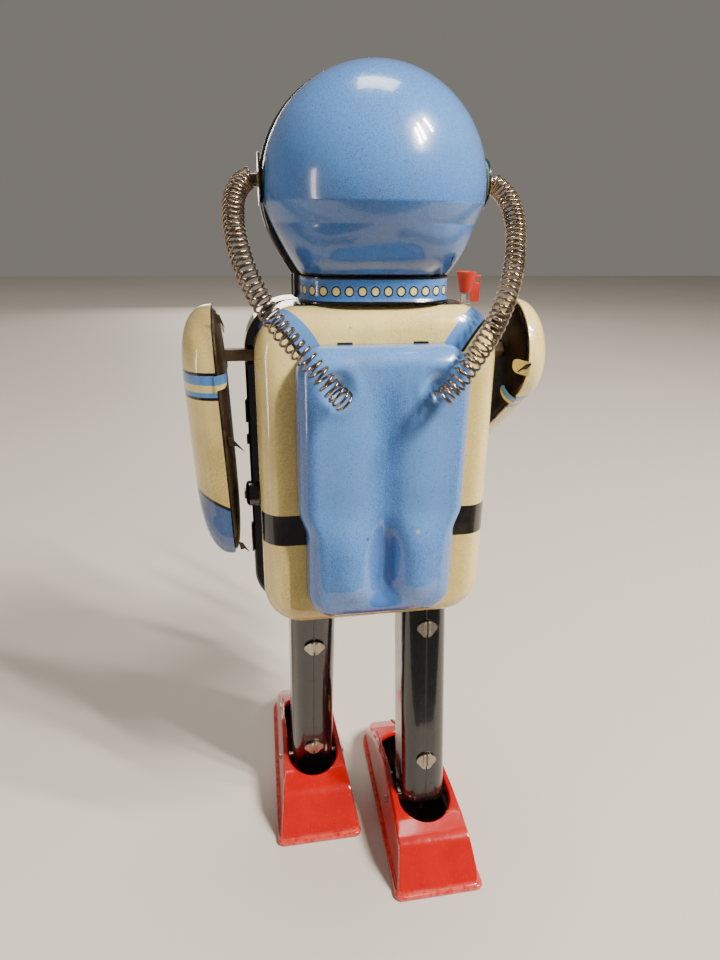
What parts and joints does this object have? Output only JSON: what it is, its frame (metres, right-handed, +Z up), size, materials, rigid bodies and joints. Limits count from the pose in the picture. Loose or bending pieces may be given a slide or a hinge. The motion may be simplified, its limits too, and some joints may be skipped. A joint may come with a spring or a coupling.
{
  "type": "tin wind-up robot",
  "caption": "Walking clockwork astronaut robot of lithographed tin with helmet, backpack, coil-spring hoses, swinging arms and one-way roller feet.",
  "frame": {"origin": "bottom centre of the bounding box, on the floor between the feet", "axes": "+Z up, -Y the way the robot faces and walks, +X its own left"},
  "size_m": [0.0992, 0.0986, 0.2247],
  "materials": {
    "blue_tin": "glossy varnished litho",
    "dark_tin": "glossy varnished litho",
    "cream_tin": "glossy varnished litho",
    "black_tin": "glossy enamel",
    "red_tin": "glossy enamel",
    "bare_tin": "dull bare tin plate",
    "plate_steel": "satin",
    "spring_steel": "drawn wire",
    "brass": "satin",
    "bright_trim": "bright",
    "red_plastic": "gloss"
  },
  "bodies": {
    "robot_body": {"helmet_rear_shell": "blue_tin", "helmet_front_shell": "dark_tin", "visor_bezel": "bright_trim", "face_plate": "cream_tin", "crown_tab": "dark_tin", "left_ear_disc": "cream_tin", "right_ear_disc": "cream_tin", "neck_ring": "blue_tin", "body_rear_shell": "cream_tin", "body_front_shell": "cream_tin", "backpack_shell": "blue_tin", "left_hose_spring": "spring_steel", "right_hose_spring": "spring_steel", "motor_plate_left": "plate_steel", "motor_plate_right": "plate_steel", "motor_pillar_1": "plate_steel", "motor_pillar_2": "plate_steel", "motor_pillar_3": "plate_steel", "hip_guide_pin": "plate_steel", "mainspring": "spring_steel", "winding_boss": "dark_tin"},
    "left_arm": {"left_arm_outer_shell": "cream_tin", "left_arm_inner_shell": "bare_tin", "left_arm_shaft": "bare_tin"},
    "right_arm": {"right_arm_outer_shell": "cream_tin", "right_arm_inner_shell": "bare_tin", "right_arm_shaft": "bare_tin", "ray_gun_body": "bright_trim", "ray_gun_barrel": "bright_trim", "ray_gun_muzzle": "red_plastic"},
    "great_wheel": {"great_wheel": "brass"},
    "crankshaft": {"crankshaft": "plate_steel"},
    "second_wheel": {"second_wheel": "brass"},
    "governor_wheel": {"governor_wheel": "brass"},
    "governor_pallet": {"governor_pallet": "plate_steel"},
    "stop_lever": {"stop_lever": "plate_steel"},
    "left_guide": {"left_guide_bush": "brass"},
    "left_leg": {"left_leg_tube": "black_tin", "left_leg_strut": "plate_steel"},
    "left_ankle": {"left_ankle_pin": "plate_steel"},
    "left_foot": {"left_foot_shell": "red_tin", "left_foot_sole_plate": "plate_steel", "left_roller_axle": "plate_steel"},
    "left_roller": {"left_foot_roller": "brass"},
    "right_guide": {"right_guide_bush": "brass"},
    "right_leg": {"right_leg_tube": "black_tin", "right_leg_strut": "plate_steel"},
    "right_ankle": {"right_ankle_pin": "plate_steel"},
    "right_foot": {"right_foot_shell": "red_tin", "right_foot_sole_plate": "plate_steel", "right_roller_axle": "plate_steel"},
    "right_roller": {"right_foot_roller": "brass"}
  },
  "joints": [
    {"name": "left_hip", "type": "hinge", "parent": "robot_body", "child": "left_guide", "pos_m": [0.0167, 0.00845, 0.093], "axis": [1, 0, 0], "range_deg": [0, 17.12]},
    {"name": "left_leg_lift", "type": "slide", "parent": "left_guide", "child": "left_leg", "axis": [0, 0.1488, 0.9889], "range_m": [0, 0.00492]},
    {"name": "left_ankle_slot", "type": "slide", "parent": "left_leg", "child": "left_ankle", "axis": [0, 0.1488, 0.9889], "range_m": [-0.00492, 0]},
    {"name": "left_ankle_tilt", "type": "hinge", "parent": "left_ankle", "child": "left_foot", "pos_m": [0.0167, -0.00389, 0.011], "axis": [1, 0, 0], "range_deg": [-17.12, 0]},
    {"name": "left_roller_turn", "type": "hinge", "parent": "left_foot", "child": "left_roller", "pos_m": [0.0167, -0.02039, 0.005], "axis": [1, 0, 0], "continuous": true},
    {"name": "left_arm_swing", "type": "hinge", "parent": "robot_body", "child": "left_arm", "pos_m": [0.03, 0.00605, 0.1563], "axis": [1, 0, 0], "range_deg": [-47, 0]},
    {"name": "right_hip", "type": "hinge", "parent": "robot_body", "child": "right_guide", "pos_m": [-0.0167, 0.00845, 0.093], "axis": [1, 0, 0], "range_deg": [-17.12, 0]},
    {"name": "right_leg_lift", "type": "slide", "parent": "right_guide", "child": "right_leg", "axis": [0, -0.1488, 0.9889], "range_m": [-0.00492, 0]},
    {"name": "right_ankle_slot", "type": "slide", "parent": "right_leg", "child": "right_ankle", "axis": [0, -0.1488, 0.9889], "range_m": [0, 0.00492]},
    {"name": "right_ankle_tilt", "type": "hinge", "parent": "right_ankle", "child": "right_foot", "pos_m": [-0.0167, 0.02079, 0.011], "axis": [1, 0, 0], "range_deg": [0, 17.12]},
    {"name": "right_roller_turn", "type": "hinge", "parent": "right_foot", "child": "right_roller", "pos_m": [-0.0167, 0.00429, 0.005], "axis": [1, 0, 0], "continuous": true},
    {"name": "right_arm_swing", "type": "hinge", "parent": "robot_body", "child": "right_arm", "pos_m": [-0.03, 0.00605, 0.1563], "axis": [1, 0, 0], "range_deg": [0, 47]},
    {"name": "winding_arbor_turn", "type": "hinge", "parent": "robot_body", "child": "great_wheel", "pos_m": [0, 0.00605, 0.11676], "axis": [1, 0, 0], "continuous": true},
    {"name": "crankshaft_turn", "type": "hinge", "parent": "robot_body", "child": "crankshaft", "pos_m": [0, 0.00845, 0.105], "axis": [1, 0, 0], "continuous": true},
    {"name": "second_wheel_turn", "type": "hinge", "parent": "robot_body", "child": "second_wheel", "pos_m": [0, -0.00195, 0.10033], "axis": [1, 0, 0], "continuous": true},
    {"name": "governor_turn", "type": "hinge", "parent": "robot_body", "child": "governor_wheel", "pos_m": [0, -0.00335, 0.10983], "axis": [1, 0, 0], "continuous": true},
    {"name": "pallet_rock", "type": "hinge", "parent": "robot_body", "child": "governor_pallet", "pos_m": [0, -0.00335, 0.11843], "axis": [1, 0, 0], "range_deg": [-3, 3]},
    {"name": "stop_lever_slide", "type": "slide", "parent": "robot_body", "child": "stop_lever", "axis": [1, 0, 0], "range_m": [0, 0.0025]}
  ],
  "couplings": [
    {"joint": "left_leg_lift", "follows": "left_hip", "m_per_rad": 0.016464},
    {"joint": "left_ankle_slot", "follows": "left_hip", "m_per_rad": -0.016464},
    {"joint": "left_ankle_tilt", "follows": "left_hip", "ratio": -1},
    {"joint": "left_arm_swing", "follows": "left_hip", "ratio": -2.745},
    {"joint": "right_hip", "follows": "left_hip", "ratio": -1},
    {"joint": "right_leg_lift", "follows": "left_hip", "m_per_rad": -0.016464},
    {"joint": "right_ankle_slot", "follows": "left_hip", "m_per_rad": 0.016464},
    {"joint": "right_ankle_tilt", "follows": "left_hip", "ratio": 1},
    {"joint": "right_arm_swing", "follows": "left_hip", "ratio": 2.745},
    {"joint": "crankshaft_turn", "follows": "winding_arbor_turn", "ratio": -4},
    {"joint": "second_wheel_turn", "follows": "winding_arbor_turn", "ratio": 15},
    {"joint": "governor_turn", "follows": "winding_arbor_turn", "ratio": -45}
  ]
}
